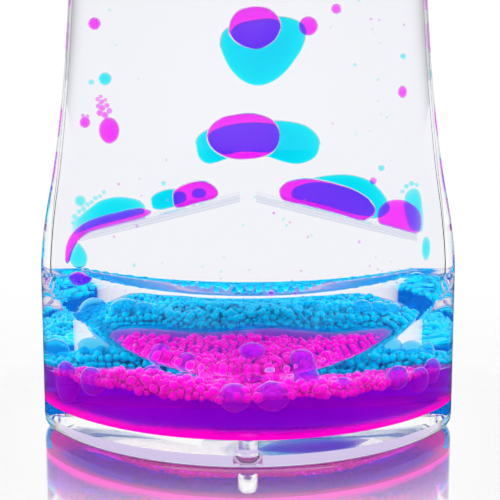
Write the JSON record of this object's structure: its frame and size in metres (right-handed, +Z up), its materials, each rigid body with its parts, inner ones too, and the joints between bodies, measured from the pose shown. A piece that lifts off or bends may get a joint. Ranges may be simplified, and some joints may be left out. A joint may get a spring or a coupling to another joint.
{
  "type": "liquid motion timer",
  "caption": "Clear hourglass case in two halves; coloured drops sink through clear liquid, run off a roof of ramps and gather in pools.",
  "frame": {"origin": "bottom centre of the foot, on the surface it stands on", "axes": "+X across the wide face, +Y from front to rear, +Z up"},
  "size_m": [0.0646, 0.044, 0.16],
  "materials": {
    "clear_case": "clear moulded acrylic, polished",
    "clear_sheet": "clear acrylic sheet, polished",
    "clear_liquid": "clear mineral oil",
    "magenta_liquid": "dyed water and glycol, magenta",
    "cyan_liquid": "dyed water and glycol, cyan"
  },
  "bodies": {
    "case": {"cyan_beads": "cyan_liquid", "divider_panel": "clear_sheet", "front_carrier_liquid": "clear_liquid", "front_fill_plug": "clear_case", "front_lower_left_ramp": "clear_sheet", "front_lower_right_ramp": "clear_sheet", "front_pool": "magenta_liquid", "front_raft": "magenta_liquid", "front_reservoir": "magenta_liquid", "front_shell": "clear_case", "front_upper_left_ramp": "clear_sheet", "front_upper_right_ramp": "clear_sheet", "magenta_beads": "magenta_liquid", "magenta_ramp_strand": "magenta_liquid", "rear_carrier_liquid": "clear_liquid", "rear_fill_plug": "clear_case", "rear_lower_left_ramp": "clear_sheet", "rear_lower_right_ramp": "clear_sheet", "rear_pool": "cyan_liquid", "rear_raft": "cyan_liquid", "rear_reservoir": "cyan_liquid", "rear_shell": "clear_case", "rear_upper_left_ramp": "clear_sheet", "rear_upper_right_ramp": "clear_sheet"},
    "magenta_drop_lower": {"magenta_drop_lower": "magenta_liquid"},
    "magenta_drop_upper": {"magenta_drop_upper": "magenta_liquid"},
    "magenta_drop_top": {"magenta_drop_top": "magenta_liquid"},
    "cyan_drop_lower": {"cyan_drop_lower": "cyan_liquid"},
    "cyan_drop_upper": {"cyan_drop_upper": "cyan_liquid"},
    "magenta_ramp_drop_left": {"magenta_ramp_drop_left": "magenta_liquid"},
    "magenta_ramp_drop_right": {"magenta_ramp_drop_right": "magenta_liquid"},
    "magenta_ramp_drop_outer": {"magenta_ramp_drop_outer": "magenta_liquid"},
    "cyan_ramp_drop_left": {"cyan_ramp_drop_left": "cyan_liquid"},
    "cyan_ramp_drop_inner": {"cyan_ramp_drop_inner": "cyan_liquid"},
    "cyan_ramp_drop_right": {"cyan_ramp_drop_right": "cyan_liquid"},
    "cyan_ramp_drop_outer": {"cyan_ramp_drop_outer": "cyan_liquid"},
    "magenta_side_drop_left": {"magenta_side_drop_left": "magenta_liquid"},
    "cyan_side_drop_left": {"cyan_side_drop_left": "cyan_liquid"},
    "cyan_side_drop_right": {"cyan_side_drop_right": "cyan_liquid"}
  },
  "joints": [
    {"name": "magenta_drop_lower_travel", "type": "slide", "parent": "case", "child": "magenta_drop_lower", "axis": [0, 0, 1], "range_m": [-0.0035, 0.05]},
    {"name": "magenta_drop_upper_travel", "type": "slide", "parent": "case", "child": "magenta_drop_upper", "axis": [0, 0, 1], "range_m": [-0.0035, 0.05]},
    {"name": "magenta_drop_top_travel", "type": "slide", "parent": "case", "child": "magenta_drop_top", "axis": [0, 0, 1], "range_m": [-0.0035, 0.05]},
    {"name": "cyan_drop_lower_travel", "type": "slide", "parent": "case", "child": "cyan_drop_lower", "axis": [0, 0, 1], "range_m": [-0.0035, 0.05]},
    {"name": "cyan_drop_upper_travel", "type": "slide", "parent": "case", "child": "cyan_drop_upper", "axis": [0, 0, 1], "range_m": [-0.0035, 0.05]},
    {"name": "magenta_ramp_drop_left_travel", "type": "slide", "parent": "case", "child": "magenta_ramp_drop_left", "axis": [-0.9675, 0, -0.2529], "range_m": [0, 0.0015]},
    {"name": "magenta_ramp_drop_right_travel", "type": "slide", "parent": "case", "child": "magenta_ramp_drop_right", "axis": [0.9675, 0, -0.2529], "range_m": [0, 0.0015]},
    {"name": "magenta_ramp_drop_outer_travel", "type": "slide", "parent": "case", "child": "magenta_ramp_drop_outer", "axis": [0.9675, 0, -0.2529], "range_m": [0, 0.0015]},
    {"name": "cyan_ramp_drop_left_travel", "type": "slide", "parent": "case", "child": "cyan_ramp_drop_left", "axis": [-0.9675, 0, -0.2529], "range_m": [0, 0.0015]},
    {"name": "cyan_ramp_drop_inner_travel", "type": "slide", "parent": "case", "child": "cyan_ramp_drop_inner", "axis": [-0.9675, 0, -0.2529], "range_m": [0, 0.0015]},
    {"name": "cyan_ramp_drop_right_travel", "type": "slide", "parent": "case", "child": "cyan_ramp_drop_right", "axis": [0.9675, 0, -0.2529], "range_m": [0, 0.0015]},
    {"name": "cyan_ramp_drop_outer_travel", "type": "slide", "parent": "case", "child": "cyan_ramp_drop_outer", "axis": [0.9675, 0, -0.2529], "range_m": [0, 0.0015]},
    {"name": "magenta_side_drop_left_travel", "type": "slide", "parent": "case", "child": "magenta_side_drop_left", "axis": [0, 0, 1], "range_m": [-0.0075, 0]},
    {"name": "cyan_side_drop_left_travel", "type": "slide", "parent": "case", "child": "cyan_side_drop_left", "axis": [0, 0, 1], "range_m": [-0.011, 0]},
    {"name": "cyan_side_drop_right_travel", "type": "slide", "parent": "case", "child": "cyan_side_drop_right", "axis": [0, 0, 1], "range_m": [-0.0074, 0]}
  ],
  "couplings": [
    {"joint": "magenta_drop_upper_travel", "follows": "magenta_drop_lower_travel", "ratio": 1},
    {"joint": "magenta_drop_top_travel", "follows": "magenta_drop_lower_travel", "ratio": 1},
    {"joint": "cyan_drop_upper_travel", "follows": "cyan_drop_lower_travel", "ratio": 1},
    {"joint": "magenta_ramp_drop_outer_travel", "follows": "magenta_ramp_drop_right_travel", "ratio": 1},
    {"joint": "cyan_ramp_drop_inner_travel", "follows": "cyan_ramp_drop_left_travel", "ratio": 1},
    {"joint": "cyan_ramp_drop_outer_travel", "follows": "cyan_ramp_drop_right_travel", "ratio": 1}
  ]
}
